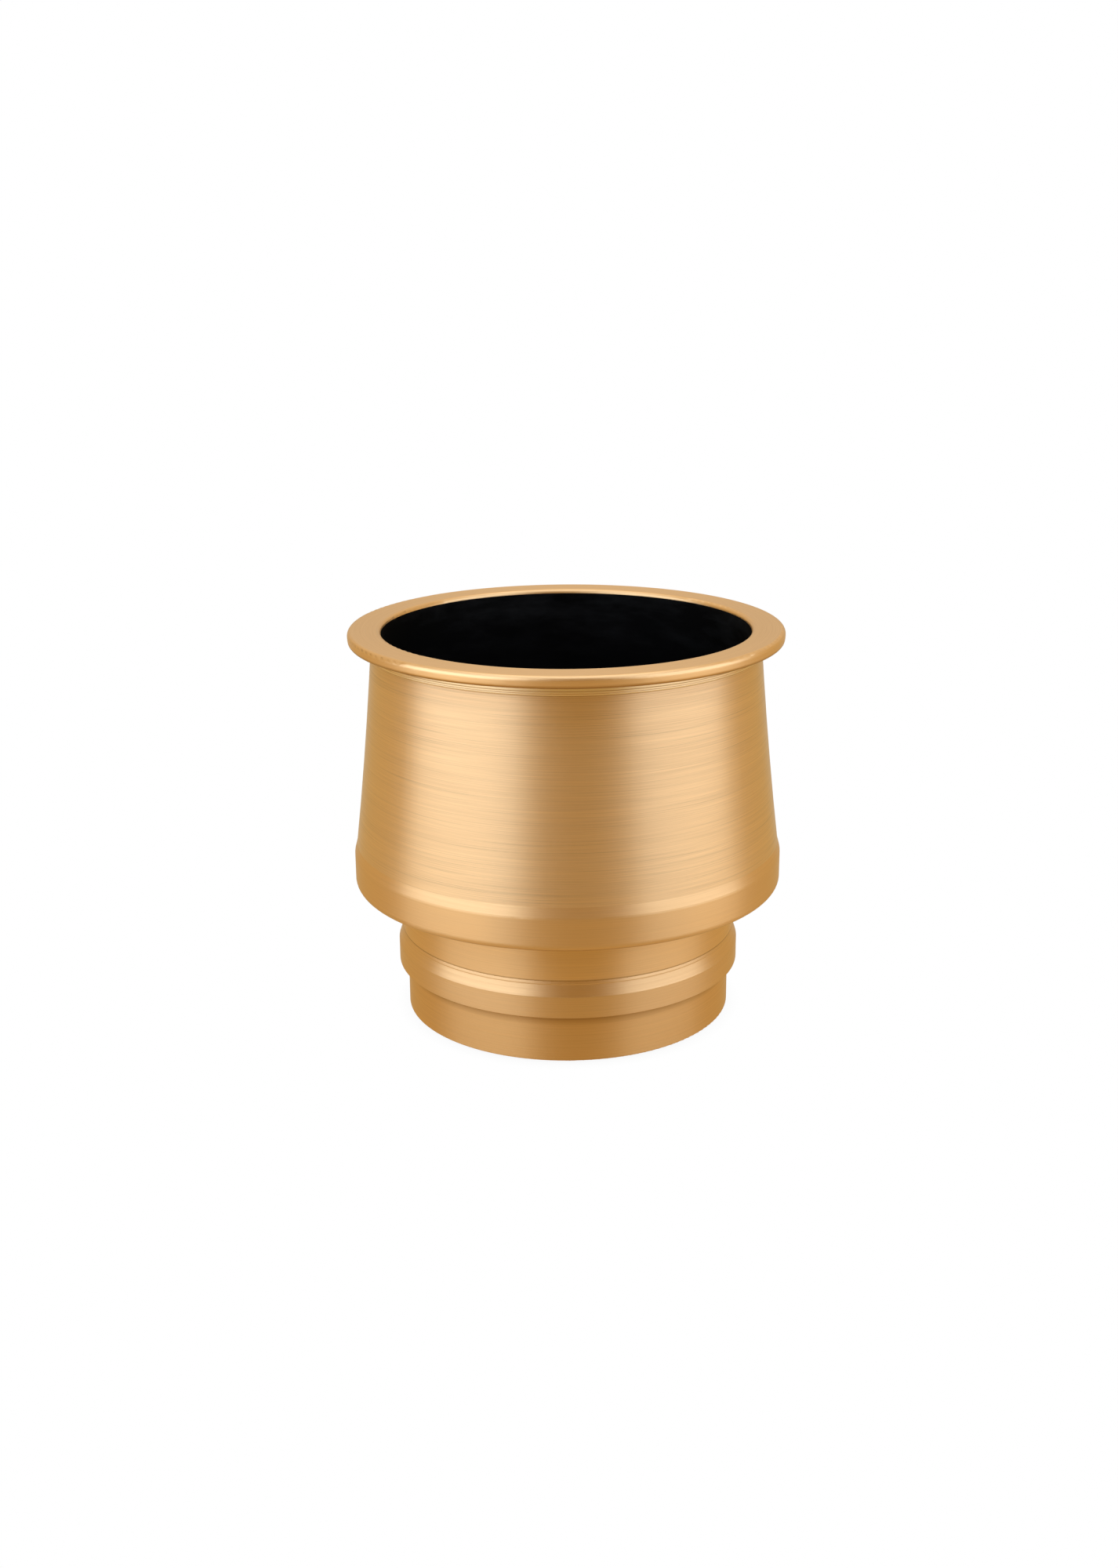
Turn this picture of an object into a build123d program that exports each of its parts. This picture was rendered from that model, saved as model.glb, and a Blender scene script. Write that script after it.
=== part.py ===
from build123d import *
import os

# Brass planter pot: a stack of spun and turned brass shells around one upright axis (Z), with a
# black bucket hung inside the rim. Millimetres, origin on the floor under the middle of the foot.

# ---- driving dimensions ----
sheet = 1.2  # thickness of every spun brass sheet
braze_gap = 0.05  # room for filler metal between two sloping faces
pad_thickness = 1.0  # felt under the foot
edge_round = 0.35  # on the crisp outer edges

opening_radius = 95.0  # clear mouth
rim_radius = 112.0
rim_height = 6.1
rim_lean = 0.4  # how far the rim's lower edge stands back from its widest line
rim_inner_round = 2.15
rim_outer_round = 2.3
rim_lower_round = 1.5

cone_top_radius = 100.0
cone_foot_radius = 110.9
cone_hollow = 0.7  # how far the cone's side curves in from a straight line
cone_top_slope = 0.08  # radius lost per millimetre of height near the cone's top
cone_foot_slope = 0.13  # and near its foot
band_radius = 112.3
band_round = 3.6
band_top_round = 4.0
neck_radius = 88.25
foot_band_radius = 90.5
foot_radius = 85.9
foot_round = 0.6

foot_height = 25.2
foot_band_height = 11.3
foot_chamfer_height = 5.8
neck_height = 26.7
band_height = 17.2
flare_height = 5.4
cone_height = 107.8
rim_overlap = 1.2  # the cone's top edge stands this far up inside the rim

collar_drop = 5.7  # skirt of the rim collar down the outside of the cone
skirt_stand = 1.2  # how far the skirt stands out from the cone's top edge
bead_stand = 0.3  # half-round bead along the skirt's lower edge
bead_height = 1.1
wire_radius = 1.2

# ---- levels, from the floor up ----
foot_base = pad_thickness
foot_top = foot_base + foot_height
foot_band_top = foot_top + foot_band_height
neck_base = foot_band_top + foot_chamfer_height
shoulder_base = neck_base + neck_height
band_top = shoulder_base + band_height
cone_base = band_top + flare_height
cone_top = cone_base + cone_height
rim_base = cone_top - rim_overlap
rim_top = rim_base + rim_height

os.makedirs("parts", exist_ok=True)


def widest_edge(builder, level):
    """The circular edge with the largest radius at that height."""
    circles = builder.edges().filter_by(GeomType.CIRCLE)
    return circles.filter_by_position(Axis.Z, level - 0.01, level + 0.01).sort_by(SortBy.RADIUS)[-1]


def cone_side(inset):
    """The cone's gently hollow side, moved towards the axis by inset: foot, middle and top points."""
    middle_radius = (cone_foot_radius + cone_top_radius) / 2 - cone_hollow
    return (
        (cone_foot_radius - inset, cone_base),
        (middle_radius - inset, (cone_base + cone_top) / 2),
        (cone_top_radius - inset, cone_top),
    )


# ---- rim: a hollow ring of sheet, rolled over a wire and closed from below by a collar ----
rim_lip = 4.0  # width of the sheet turned in under the ring
lower_edge_radius = rim_radius - rim_lean

with BuildPart() as rim_ring:
    with BuildSketch(Plane.XZ):
        with BuildLine():
            inner_round = CenterArc(
                (opening_radius + rim_inner_round, rim_top - rim_inner_round), rim_inner_round, 180, -90
            )
            Line(inner_round @ 1, (rim_radius - rim_outer_round, rim_top))
            outer_round = CenterArc(
                (rim_radius - rim_outer_round, rim_top - rim_outer_round), rim_outer_round, 90, -90
            )
            flank = TangentArc(outer_round @ 1, (lower_edge_radius, rim_base), tangent=(0, -1))
            Line(flank @ 1, (lower_edge_radius - rim_lip, rim_base))
            offset(amount=-sheet, side=Side.RIGHT, kind=Kind.INTERSECTION)
        make_face()
    revolve(axis=Axis.Z)
    fillet(widest_edge(rim_ring, rim_base), radius=rim_lower_round)

# The wire lies on the collar's plate, just clear of the ring's leaning flank.
wire_play = 0.35
wire_ring_radius = rim_radius - sheet - wire_radius - wire_play

with BuildPart() as rim_wire:
    with BuildSketch(Plane.XZ):
        with Locations((wire_ring_radius, rim_base + 2 * sheet + wire_radius)):
            Circle(wire_radius)
    revolve(axis=Axis.Z)

# The collar's plate lies on the rim's lip and on the cone's top edge, and touches the liner.
# Its skirt hugs the cone from outside, with a turned line above the bead at its lower edge.
liner_outer_radius = opening_radius + sheet
plate_radius = lower_edge_radius - sheet
skirt_radius = cone_top_radius + skirt_stand
skirt_base = rim_base - collar_drop
skirt_bore_top = cone_top_radius + braze_gap
skirt_bore_base = skirt_bore_top + cone_top_slope * (cone_top - skirt_base)
bead_top = skirt_base + bead_height
turned_line_width = 0.35
turned_line_depth = 0.2
turned_line_rise = 0.75  # from the bead to the lower edge of the turned line

with BuildPart() as rim_collar:
    with BuildSketch(Plane.XZ):
        with BuildLine():
            Polyline(
                (skirt_radius, skirt_base),
                (skirt_bore_base, skirt_base),
                (skirt_bore_top, cone_top),
                (liner_outer_radius, cone_top),
                (liner_outer_radius, cone_top + sheet),
                (plate_radius, cone_top + sheet),
                (plate_radius, cone_top),
                (skirt_radius, cone_top),
                (skirt_radius, bead_top + turned_line_rise + turned_line_width),
                (skirt_radius - turned_line_depth, bead_top + turned_line_rise + turned_line_width / 2),
                (skirt_radius, bead_top + turned_line_rise),
                (skirt_radius, bead_top),
            )
            ThreePointArc(
                (skirt_radius, bead_top),
                (skirt_radius + bead_stand, skirt_base + bead_height / 2),
                (skirt_radius, skirt_base),
            )
        make_face()
    revolve(axis=Axis.Z)

# ---- body: an open cone that widens downwards ----
with BuildPart() as body_cone:
    with BuildSketch(Plane.XZ):
        with BuildLine():
            outside = ThreePointArc(*cone_side(0))
            inside = ThreePointArc(*cone_side(sheet))
            Line(outside @ 0, inside @ 0)
            Line(outside @ 1, inside @ 1)
        make_face()
    revolve(axis=Axis.Z)

# ---- shoulder: flare, upright band and underside, with a joggle up into the cone ----
joggle_height = 8.0
joggle_outer = cone_foot_radius - sheet - braze_gap
spigot_radius = neck_radius - sheet
spigot_drop = 8.0

with BuildPart() as shoulder_pan:
    with BuildSketch(Plane.XZ):
        with BuildLine():
            Polyline(
                (joggle_outer - cone_foot_slope * joggle_height, cone_base + joggle_height),
                (joggle_outer, cone_base),
                (cone_foot_radius, cone_base),
                (band_radius, band_top),
                (band_radius, shoulder_base + band_round),
            )
            CenterArc((band_radius - band_round, shoulder_base + band_round), band_round, 0, -90)
            Polyline(
                (band_radius - band_round, shoulder_base),
                (spigot_radius, shoulder_base),
                (spigot_radius, shoulder_base - spigot_drop),
                (spigot_radius - sheet, shoulder_base - spigot_drop),
                (spigot_radius - sheet, shoulder_base + sheet),
                (band_radius - band_round, shoulder_base + sheet),
            )
            CenterArc(
                (band_radius - band_round, shoulder_base + band_round), band_round - sheet, -90, 90
            )
            Polyline(
                (band_radius - sheet, shoulder_base + band_round),
                (band_radius - sheet, band_top),
                (joggle_outer - sheet, cone_base),
                (joggle_outer - sheet - cone_foot_slope * joggle_height, cone_base + joggle_height),
                (joggle_outer - cone_foot_slope * joggle_height, cone_base + joggle_height),
            )
        make_face()
    revolve(axis=Axis.Z)
    fillet(widest_edge(shoulder_pan, band_top), radius=band_top_round)

# ---- neck: a short tube over the shoulder's spigot, standing on the foot through its own flange ----
neck_flange_drop = 1.0  # the flange lies this far below the top of the foot's wider band
neck_flange_base = foot_band_top - neck_flange_drop

with BuildPart() as neck_ring:
    with BuildSketch(Plane.XZ):
        with BuildLine():
            Polyline(
                (foot_radius - sheet, neck_flange_base),
                (neck_radius, neck_flange_base),
                (neck_radius, shoulder_base),
                (neck_radius - sheet, shoulder_base),
                (neck_radius - sheet, neck_flange_base + sheet),
                (foot_radius - sheet, neck_flange_base + sheet),
                close=True,
            )
        make_face()
    revolve(axis=Axis.Z)

# ---- foot collar: the wider band, with a chamfer up to a small sloping lip around the neck ----
lip_stand = 0.35
lip_radius = neck_radius + lip_stand
lip_edge_height = 0.5
lip_slope_height = 1.3
lip_top = neck_base + lip_edge_height + lip_slope_height

with BuildPart() as foot_collar:
    with BuildSketch(Plane.XZ):
        with BuildLine():
            Polyline(
                (foot_radius, foot_top),
                (foot_band_radius, foot_top),
                (foot_band_radius, foot_band_top),
                (lip_radius, neck_base),
                (lip_radius, neck_base + lip_edge_height),
                (neck_radius, lip_top),
                (neck_radius, foot_band_top + sheet),
                (foot_band_radius - sheet, foot_band_top - sheet),
                (foot_band_radius - sheet, foot_top + sheet),
                (foot_radius, foot_top + sheet),
                close=True,
            )
        make_face()
    revolve(axis=Axis.Z)
    fillet(widest_edge(foot_collar, foot_top), radius=edge_round)
    fillet(widest_edge(foot_collar, foot_band_top), radius=edge_round)

# ---- foot ring: the straight lower band, hemmed inwards at the floor ----
hem_width = 16.0

with BuildPart() as foot_ring:
    with BuildSketch(Plane.XZ):
        with BuildLine():
            Polyline(
                (foot_radius - hem_width, foot_base),
                (foot_radius, foot_base),
                (foot_radius, neck_flange_base),
                (foot_radius - sheet, neck_flange_base),
                (foot_radius - sheet, foot_base + sheet),
                (foot_radius - hem_width, foot_base + sheet),
                close=True,
            )
        make_face()
    revolve(axis=Axis.Z)
    fillet(widest_edge(foot_ring, foot_base), radius=foot_round)

# ---- base plate: a disc lying on the hem, closing the foot ----
with BuildPart() as base_plate:
    with BuildSketch(Plane.XY.offset(foot_base + sheet)):
        Circle(foot_radius - sheet)
    extrude(amount=sheet)

# ---- liner: a straight bucket between the rim's inner edge and the shoulder's underside ----
liner_base = shoulder_base + sheet
liner_top = rim_top - rim_inner_round
liner_corner = 6.0

with BuildPart() as inner_liner:
    with BuildSketch(Plane.XY.offset(liner_base)):
        Circle(liner_outer_radius)
    extrude(amount=liner_top - liner_base)
    fillet(inner_liner.edges().group_by(Axis.Z)[0], radius=liner_corner)
    offset(amount=-sheet, openings=inner_liner.faces().sort_by(Axis.Z)[-1])

# ---- floor pads: felt discs under the hem ----
pad_radius = 6.0
pad_count = 4
pad_inset = 8.5  # from the foot's outside to the middle of a pad

with BuildPart() as floor_pads:
    with BuildSketch(Plane.XY):
        with PolarLocations(foot_radius - pad_inset, pad_count):
            Circle(pad_radius)
    extrude(amount=pad_thickness)

pieces = {
    "rim_ring": rim_ring,
    "rim_wire": rim_wire,
    "rim_collar": rim_collar,
    "body_cone": body_cone,
    "shoulder_pan": shoulder_pan,
    "neck_ring": neck_ring,
    "foot_collar": foot_collar,
    "foot_ring": foot_ring,
    "base_plate": base_plate,
    "inner_liner": inner_liner,
    "floor_pads": floor_pads,
}
for name, piece in pieces.items():
    piece.part.label = name
    export_step(piece.part, f"parts/{name}.step")
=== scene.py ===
import math

import bpy
from mathutils import Euler, Matrix, Vector


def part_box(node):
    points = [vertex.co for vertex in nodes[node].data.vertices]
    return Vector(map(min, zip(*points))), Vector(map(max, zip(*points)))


# A brass planter pot, shown in a plain studio. Metres, +Z up, the pot's axis on Z, its floor at Z = 0.
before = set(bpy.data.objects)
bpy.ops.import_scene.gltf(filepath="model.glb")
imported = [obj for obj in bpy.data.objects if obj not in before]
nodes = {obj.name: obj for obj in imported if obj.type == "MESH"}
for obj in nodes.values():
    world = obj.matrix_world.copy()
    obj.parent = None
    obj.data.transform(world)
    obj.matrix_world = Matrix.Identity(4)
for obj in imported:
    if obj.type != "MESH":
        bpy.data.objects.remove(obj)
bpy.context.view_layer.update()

# ---- camera ----
CAMERA_PLACE = Vector((-0.0042, -0.9216, 0.4031))
CAMERA_PITCH = math.radians(17.08)  # below the horizon
CAMERA_ROLL = math.radians(-0.38)
LENS_MM = 42.0
SENSOR_MM = 36.0


def make_camera():
    data = bpy.data.cameras.new("camera")
    data.lens = LENS_MM
    data.sensor_width = SENSOR_MM
    camera = bpy.data.objects.new("camera", data)
    bpy.context.scene.collection.objects.link(camera)
    looking = Euler((math.pi / 2 - CAMERA_PITCH, 0.0, 0.0)).to_matrix().to_4x4()
    rolled = Matrix.Rotation(CAMERA_ROLL, 4, "Z")
    camera.matrix_world = Matrix.Translation(CAMERA_PLACE) @ looking @ rolled
    bpy.context.scene.camera = camera


make_camera()


# ---- node helpers ----
LATHE_DETAIL = 2.0
LATHE_ROUGHNESS = 0.6  # how strong the finer layers of the noise are


def new_material(name):
    material = bpy.data.materials.new(name)
    material.use_nodes = True
    tree = material.node_tree
    return material, tree, tree.nodes["Principled BSDF"]


def feed(tree, value, socket):
    """Sets a socket to a number or a colour, or links another node's output to it."""
    if isinstance(value, (int, float)):
        socket.default_value = value
    elif isinstance(value, tuple):
        socket.default_value = (*value, 1.0)
    else:
        tree.links.new(value, socket)


def math_node(tree, operation, a, b=0.0):
    node = tree.nodes.new("ShaderNodeMath")
    node.operation = operation
    feed(tree, a, node.inputs[0])
    feed(tree, b, node.inputs[1])
    return node.outputs[0]


def map_range(tree, value, low, high, to_low, to_high):
    node = tree.nodes.new("ShaderNodeMapRange")
    node.inputs["From Min"].default_value = low
    node.inputs["From Max"].default_value = high
    node.inputs["To Min"].default_value = to_low
    node.inputs["To Max"].default_value = to_high
    tree.links.new(value, node.inputs["Value"])
    return node.outputs["Result"]


def mix_colours(tree, factor, first, second, blend_type="MIX"):
    node = tree.nodes.new("ShaderNodeMix")
    node.data_type = "RGBA"
    node.blend_type = blend_type
    feed(tree, factor, node.inputs["Factor"])
    feed(tree, first, node.inputs["A"])
    feed(tree, second, node.inputs["B"])
    return node.outputs["Result"]


def bump(tree, height, depth):
    node = tree.nodes.new("ShaderNodeBump")
    node.inputs["Distance"].default_value = depth
    tree.links.new(height, node.inputs["Height"])
    return node.outputs["Normal"]


def turned_coordinates(tree):
    """Object coordinates, and the distance from the pot's axis."""
    place = tree.nodes.new("ShaderNodeTexCoord").outputs["Object"]
    split = tree.nodes.new("ShaderNodeSeparateXYZ")
    tree.links.new(place, split.inputs[0])
    x, y, z = split.outputs
    squares = math_node(tree, "ADD", math_node(tree, "MULTIPLY", x, x), math_node(tree, "MULTIPLY", y, y))
    return x, y, z, math_node(tree, "SQRT", squares)


def lathe_noise(tree, across, along, detail=LATHE_DETAIL):
    """Noise drawn out around the pot's axis. across and along are lines per metre, across and along them."""
    x, y, z, radius = turned_coordinates(tree)
    vector = tree.nodes.new("ShaderNodeCombineXYZ")
    for value, scale, socket in zip((x, y, z), (along, along, across), vector.inputs):
        tree.links.new(math_node(tree, "MULTIPLY", value, scale), socket)
    noise = tree.nodes.new("ShaderNodeTexNoise")
    noise.noise_dimensions = "4D"
    noise.inputs["Scale"].default_value = 1.0
    noise.inputs["Detail"].default_value = detail
    noise.inputs["Roughness"].default_value = LATHE_ROUGHNESS
    tree.links.new(vector.outputs[0], noise.inputs["Vector"])
    tree.links.new(math_node(tree, "MULTIPLY", radius, across), noise.inputs["W"])
    return noise.outputs["Fac"]


# ---- brass ----
# the dark brown that the lines of painted shade turn the brass towards
PAINTED_SHADE_COLOUR = (0.34, 0.17, 0.055)
FINE_LINES = {"across": 2600.0, "along": 20.0}
COARSE_LINES = {"across": 800.0, "along": 8.0}
SCRATCHES = {"across": 2600.0, "along": 10.0}
FINE_SHARE = 0.8  # of the brush lines; the rest is coarse
NOISE_SPAN = (0.3, 0.7)  # where nearly all of the noise's values lie
SCRATCH_SPAN = (0.58, 0.72)  # only the noise's peaks are scratches
ROUGHNESS_SPREAD = 0.05
COAT_ROUGHNESS = 0.3
UPRIGHT_GLOSS = 0.25  # of a turn: highlights stretch up and down, across the brush lines


def finish(brass, roughness, anisotropy, coat, lines, scratches, depth):
    """How a piece is finished. coat is the weight of its lacquer, lines and scratches say how strongly
    the brushing and the single scratches darken it, and depth is the brushing's depth in metres."""
    return {
        "brass": brass,
        "roughness": roughness,
        "anisotropy": anisotropy,
        "coat": coat,
        "lines": lines,
        "scratches": scratches,
        "depth": depth,
    }


# All pieces are one brass. The collar's paler brass is painted light against the shade under the rim. The
# foot's deeper brass is painted shade. The smaller differences between the other pieces follow how the light
# falls on each.
CONE = finish((0.92, 0.65, 0.365), 0.5, 0.8, 1.0, lines=0.10, scratches=0.20, depth=0.00002)
RIM = finish((0.91, 0.62, 0.33), 0.40, 0.4, 0.3, lines=0.05, scratches=0.05, depth=0.00001)
COLLAR = finish((1.0, 0.80, 0.51), 0.42, 0.6, 0.8, lines=0.08, scratches=0.10, depth=0.00001)
BANDS = finish((0.90, 0.615, 0.33), 0.44, 0.75, 0.4, lines=0.04, scratches=0.05, depth=0.00001)
NECK = finish((0.96, 0.66, 0.35), 0.44, 0.75, 0.4, lines=0.05, scratches=0.06, depth=0.00001)
FOOT = finish((0.87, 0.57, 0.275), 0.44, 0.75, 0.4, lines=0.05, scratches=0.06, depth=0.00001)
BASE = finish((0.90, 0.605, 0.32), 0.45, 0.6, 0.3, lines=0.15, scratches=0.15, depth=0.00003)


def painted_shade_line(level, reach, strength):
    """A line of painted shade around the pot, strongest at its level and gone at its reach above and below.
    """
    return {"level": level, "reach": reach, "strength": strength}


def unshaded(tree, shade_lines):
    """1 on unshaded brass, and 1 - strength in the middle of a line of painted shade."""
    height = turned_coordinates(tree)[2]
    lit = 1.0
    for line in shade_lines:
        away = math_node(tree, "ABSOLUTE", math_node(tree, "SUBTRACT", height, line["level"]))
        faded = map_range(tree, away, 0.0, line["reach"], 1.0 - line["strength"], 1.0)
        lit = math_node(tree, "MULTIPLY", faded, lit)
    return lit


def brushed_brass(name, look, shade_lines=()):
    """Lacquered brass brushed around the pot's axis, with lines of painted shade."""
    material, tree, shader = new_material(name)
    fine = math_node(tree, "MULTIPLY", lathe_noise(tree, **FINE_LINES), FINE_SHARE)
    coarse = math_node(tree, "MULTIPLY", lathe_noise(tree, **COARSE_LINES), 1.0 - FINE_SHARE)
    brushed = math_node(tree, "ADD", fine, coarse)

    line_shade = map_range(tree, brushed, *NOISE_SPAN, 1.0 - look["lines"], 1.0 + look["lines"])
    scratched = lathe_noise(tree, **SCRATCHES)
    scratch_shade = map_range(tree, scratched, *SCRATCH_SPAN, 1.0, 1.0 - look["scratches"])
    shade = math_node(tree, "MULTIPLY", line_shade, scratch_shade)
    # painted shade: the brass turns dark brown along the shade lines
    metal = mix_colours(tree, unshaded(tree, shade_lines), PAINTED_SHADE_COLOUR, look["brass"])
    tree.links.new(mix_colours(tree, 1.0, metal, shade, "MULTIPLY"), shader.inputs["Base Color"])

    dull = look["roughness"] + ROUGHNESS_SPREAD
    glossy = look["roughness"] - ROUGHNESS_SPREAD
    tree.links.new(map_range(tree, brushed, *NOISE_SPAN, dull, glossy), shader.inputs["Roughness"])
    tree.links.new(bump(tree, brushed, look["depth"]), shader.inputs["Normal"])
    tangent = tree.nodes.new("ShaderNodeTangent")
    tangent.direction_type = "RADIAL"
    tangent.axis = "Z"
    tree.links.new(tangent.outputs["Tangent"], shader.inputs["Tangent"])
    shader.inputs["Metallic"].default_value = 1.0
    shader.inputs["Anisotropic"].default_value = look["anisotropy"]
    shader.inputs["Anisotropic Rotation"].default_value = UPRIGHT_GLOSS
    shader.inputs["Coat Weight"].default_value = look["coat"]
    shader.inputs["Coat Roughness"].default_value = COAT_ROUGHNESS
    return material


# ---- paint, steel and felt ----
PAINT_BLACK = (0.0008, 0.0009, 0.0013)
PAINT_RUBBED = (0.011, 0.012, 0.014)
RUBBED_DEPTHS = (0.035, 0.008)  # below the liner's mouth: where the rubbed band starts, and is full
RUBBED_EVERYWHERE = 0.2  # share of the rubbing that is outside that band too
RUBBED_PATCHES = {"across": 90.0, "along": 30.0, "detail": 6.0}
PATCH_SPAN = (0.45, 0.75)
PAINT_ROUGHNESS = 0.55
PAINT_SHINE = 0.06
STEEL = ((0.32, 0.32, 0.33), (0.52, 0.52, 0.53))  # between two colours, as for the felt
DRAWN_LINES = {"across": 1500.0, "along": 60.0}
STEEL_ROUGHNESS = 0.4
FELT = ((0.012, 0.011, 0.010), (0.075, 0.068, 0.060))
FIBRES_PER_METRE = 900.0
FIBRE_DETAIL = 6.0
FIBRE_DEPTH = 0.0003
FELT_ROUGHNESS = 0.95
FELT_SHINE = 0.1


def black_paint():
    """The liner's paint: near black, and rubbed a little greyer in a band below its mouth."""
    material, tree, shader = new_material("liner_black")
    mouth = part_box("inner_liner")[1].z
    low, high = (mouth - depth for depth in RUBBED_DEPTHS)
    band = map_range(tree, turned_coordinates(tree)[2], low, high, RUBBED_EVERYWHERE, 1.0)
    patches = map_range(tree, lathe_noise(tree, **RUBBED_PATCHES), *PATCH_SPAN, 0.0, 1.0)
    rubbed = math_node(tree, "MULTIPLY", patches, band)
    tree.links.new(mix_colours(tree, rubbed, PAINT_BLACK, PAINT_RUBBED), shader.inputs["Base Color"])
    shader.inputs["Roughness"].default_value = PAINT_ROUGHNESS
    shader.inputs["Specular IOR Level"].default_value = PAINT_SHINE
    return material


def steel():
    material, tree, shader = new_material("wire_steel")
    drawn = lathe_noise(tree, **DRAWN_LINES)
    tree.links.new(mix_colours(tree, drawn, *STEEL), shader.inputs["Base Color"])
    shader.inputs["Metallic"].default_value = 1.0
    shader.inputs["Roughness"].default_value = STEEL_ROUGHNESS
    return material


def felt():
    material, tree, shader = new_material("pad_felt")
    noise = tree.nodes.new("ShaderNodeTexNoise")
    noise.inputs["Scale"].default_value = FIBRES_PER_METRE
    noise.inputs["Detail"].default_value = FIBRE_DETAIL
    tree.links.new(tree.nodes.new("ShaderNodeTexCoord").outputs["Object"], noise.inputs["Vector"])
    fibres = noise.outputs["Fac"]
    tree.links.new(mix_colours(tree, fibres, *FELT), shader.inputs["Base Color"])
    tree.links.new(bump(tree, fibres, FIBRE_DEPTH), shader.inputs["Normal"])
    shader.inputs["Roughness"].default_value = FELT_ROUGHNESS
    shader.inputs["Specular IOR Level"].default_value = FELT_SHINE
    return material


# ---- every piece's material ----
def bottom(node):
    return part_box(node)[0].z


def top(node):
    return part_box(node)[1].z


SHEET = top("base_plate") - bottom("base_plate")  # the shoulder's underside is as thick as the base plate
RIM_BASE = bottom("rim_ring")
COLLAR_BASE = bottom("rim_collar")
COLLAR_LINES = (0.0020, 0.0035)  # heights of two turned lines above the collar's lower edge, darkened with painted shade
SHOULDER_BASE = bottom("inner_liner") - SHEET
LIP_TOP = top("foot_collar")
FOOT_BAND_BASE = bottom("foot_collar")

# Painted shade: darker lines in the corners between the pieces and under their overhangs.
RIM_PAINTED_SHADE = [painted_shade_line(RIM_BASE, reach=0.0019, strength=1.0)]
COLLAR_PAINTED_SHADE = [painted_shade_line(COLLAR_BASE + rise, reach=0.00025, strength=0.5) for rise in COLLAR_LINES]
CONE_PAINTED_SHADE = [painted_shade_line(COLLAR_BASE, reach=0.0007, strength=0.8)]
SHOULDER_PAINTED_SHADE = [painted_shade_line(SHOULDER_BASE, reach=0.0016, strength=0.7)]
NECK_PAINTED_SHADE = [painted_shade_line(LIP_TOP, reach=0.0008, strength=0.8)]
# painted shadow of the foot band's overhang, on the foot below it
FOOT_PAINTED_SHADE = [painted_shade_line(FOOT_BAND_BASE, reach=0.0060, strength=0.85)]


def paint(node, material):
    nodes[node].data.materials.clear()
    nodes[node].data.materials.append(material)


paint("rim_ring", brushed_brass("brass_rim", RIM, RIM_PAINTED_SHADE))
paint("rim_collar", brushed_brass("brass_collar", COLLAR, COLLAR_PAINTED_SHADE))
paint("body_cone", brushed_brass("brass_cone", CONE, CONE_PAINTED_SHADE))
paint("shoulder_pan", brushed_brass("brass_shoulder", BANDS, SHOULDER_PAINTED_SHADE))
paint("neck_ring", brushed_brass("brass_neck", NECK, NECK_PAINTED_SHADE))
paint("foot_collar", brushed_brass("brass_foot_band", BANDS))
paint("foot_ring", brushed_brass("brass_foot", FOOT, FOOT_PAINTED_SHADE))
paint("base_plate", brushed_brass("brass_base", BASE))
paint("inner_liner", black_paint())
paint("rim_wire", steel())
paint("floor_pads", felt())

# ---- studio ----
FRONT_WALL = (0.32, 0.19, 0.05)
BACK_WALL = (0.60, 0.42, 0.17)
BACKDROP = (0.60, 0.50, 0.36)  # the lit paper straight behind the pot
FLOOR_BOUNCE = (0.54, 0.36, 0.135)
FRONT_TO_BACK = (-0.1, 0.4)  # of Y in the direction looked at, where one wall runs into the other
FLOOR_TO_WALLS = (-0.45, 0.0)  # of Z
WALLS_TO_BACKDROP = (0.8, 0.93)  # of Y
COOL = (0.91, 1.07, 1.26)  # the softboxes
WARM = (1.0, 0.72, 0.30)  # light off the floor
WHITE = (1.0, 1.0, 1.0)
POT_MIDDLE = Vector((0.0, 0.0, 0.12))
GLOW_HEIGHT = 0.001
GLOW_SIZE = 0.42
FLOOR_RADIUS = 3.0
FLOOR_SIDES = 96
FLOOR_DROP = 0.0002  # keeps the paper clear of the pads
SHADE_REACH = 0.008  # how far from the pot the paper is shaded
SHADE_DEEPEST = 0.93


def make_world():
    """A warm dim room, which only the pot sees. The camera sees plain white behind it."""
    world = bpy.data.worlds.new("studio")
    world.use_nodes = True
    tree = world.node_tree
    room = tree.nodes["Background"]
    way = tree.nodes.new("ShaderNodeTexCoord").outputs["Generated"]
    split = tree.nodes.new("ShaderNodeSeparateXYZ")
    tree.links.new(way, split.inputs[0])
    backward = split.outputs["Y"]
    upward = split.outputs["Z"]
    behind = map_range(tree, backward, *FRONT_TO_BACK, 0.0, 1.0)
    above = map_range(tree, upward, *FLOOR_TO_WALLS, 0.0, 1.0)
    straight_behind = map_range(tree, backward, *WALLS_TO_BACKDROP, 0.0, 1.0)
    walls = mix_colours(tree, behind, FRONT_WALL, BACK_WALL)
    whole = mix_colours(tree, above, FLOOR_BOUNCE, walls)
    around = mix_colours(tree, straight_behind, whole, BACKDROP)
    tree.links.new(around, room.inputs["Color"])

    paper = tree.nodes.new("ShaderNodeBackground")
    feed(tree, WHITE, paper.inputs["Color"])
    seen = tree.nodes.new("ShaderNodeLightPath").outputs["Is Camera Ray"]
    mix = tree.nodes.new("ShaderNodeMixShader")
    tree.links.new(seen, mix.inputs["Fac"])
    tree.links.new(room.outputs[0], mix.inputs[1])
    tree.links.new(paper.outputs[0], mix.inputs[2])
    tree.links.new(mix.outputs[0], tree.nodes["World Output"].inputs["Surface"])
    bpy.context.scene.world = world


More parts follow.
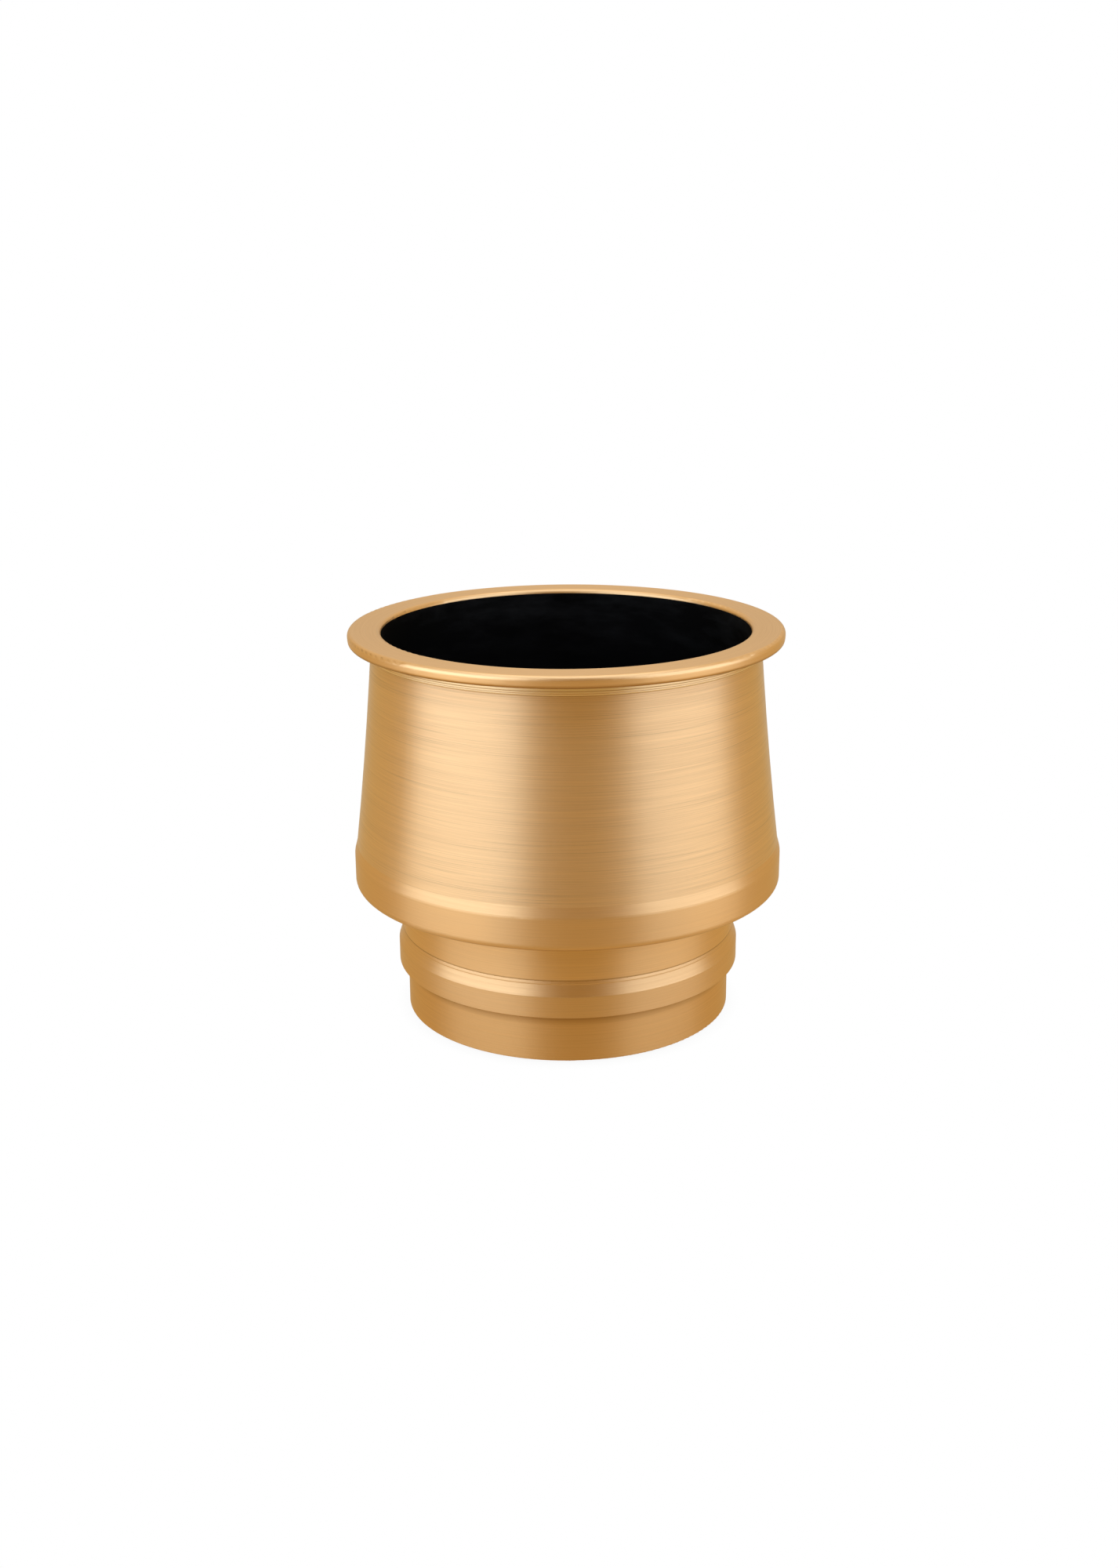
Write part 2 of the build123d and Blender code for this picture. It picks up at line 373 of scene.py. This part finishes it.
def softbox(name, azimuth, elevation, distance, width, height, radiance, colour=COOL):
    """A rectangular light that faces the pot. Azimuth 0 is the camera's side, and it grows to the right."""
    data = bpy.data.lights.new(name, "AREA")
    data.shape = "RECTANGLE"
    data.size = width
    data.size_y = height
    data.energy = radiance * math.pi * width * height
    data.color = colour
    light = bpy.data.objects.new(name, data)
    bpy.context.scene.collection.objects.link(light)
    turn, rise = math.radians(azimuth), math.radians(elevation)
    way = Vector((math.sin(turn) * math.cos(rise), -math.cos(turn) * math.cos(rise), math.sin(rise)))
    light.location = POT_MIDDLE + way * distance
    light.rotation_euler = way.to_track_quat("Z", "Y").to_euler()
    light.visible_camera = False
    return light


def floor_glow(name, azimuth, reach, radiance):
    """The lit floor beside the pot, as the pot sees it: a panel lying on the floor, facing up."""
    light = softbox(name, azimuth, 0, reach, GLOW_SIZE, GLOW_SIZE, radiance, colour=WARM)
    light.location.z = GLOW_HEIGHT
    light.rotation_euler = (math.pi, 0.0, -math.radians(azimuth))


def make_floor():
    """White paper under the pot, with no shadow but a faint one where they meet, and clear from below."""
    bpy.ops.mesh.primitive_circle_add(vertices=FLOOR_SIDES, radius=FLOOR_RADIUS, fill_type="NGON")
    floor = bpy.context.object
    floor.name = "studio_floor"
    floor.location.z = -FLOOR_DROP
    material, tree, shader = new_material("floor_white")
    tree.nodes.remove(shader)
    near = tree.nodes.new("ShaderNodeAmbientOcclusion")
    near.inputs["Distance"].default_value = SHADE_REACH
    light = tree.nodes.new("ShaderNodeEmission")
    shade = map_range(tree, near.outputs["AO"], 0.0, 1.0, SHADE_DEEPEST, 1.0)
    tree.links.new(shade, light.inputs["Strength"])
    below = tree.nodes.new("ShaderNodeNewGeometry").outputs["Backfacing"]
    mix = tree.nodes.new("ShaderNodeMixShader")
    tree.links.new(below, mix.inputs["Fac"])
    tree.links.new(light.outputs[0], mix.inputs[1])
    tree.links.new(tree.nodes.new("ShaderNodeBsdfTransparent").outputs[0], mix.inputs[2])
    tree.links.new(mix.outputs[0], tree.nodes["Material Output"].inputs["Surface"])
    floor.data.materials.append(material)
    floor.visible_glossy = False
    floor.visible_diffuse = False
    floor.visible_shadow = False


make_world()
make_floor()
softbox("softbox_left", azimuth=-57, elevation=21, distance=1.0, width=1.35, height=1.1, radiance=1.4)
softbox("softbox_right", azimuth=65, elevation=21, distance=1.0, width=1.2, height=1.1, radiance=1.15)
softbox("softbox_top", azimuth=0, elevation=88, distance=1.3, width=1.5, height=1.5, radiance=0.92)
softbox("softbox_back", azimuth=180, elevation=44, distance=1.6, width=3.0, height=1.1, radiance=0.15)
floor_glow("floor_glow_left", azimuth=-58, reach=0.5, radiance=0.33)
floor_glow("floor_glow_right", azimuth=66, reach=0.5, radiance=0.28)
bpy.context.scene.view_settings.view_transform = "Standard"
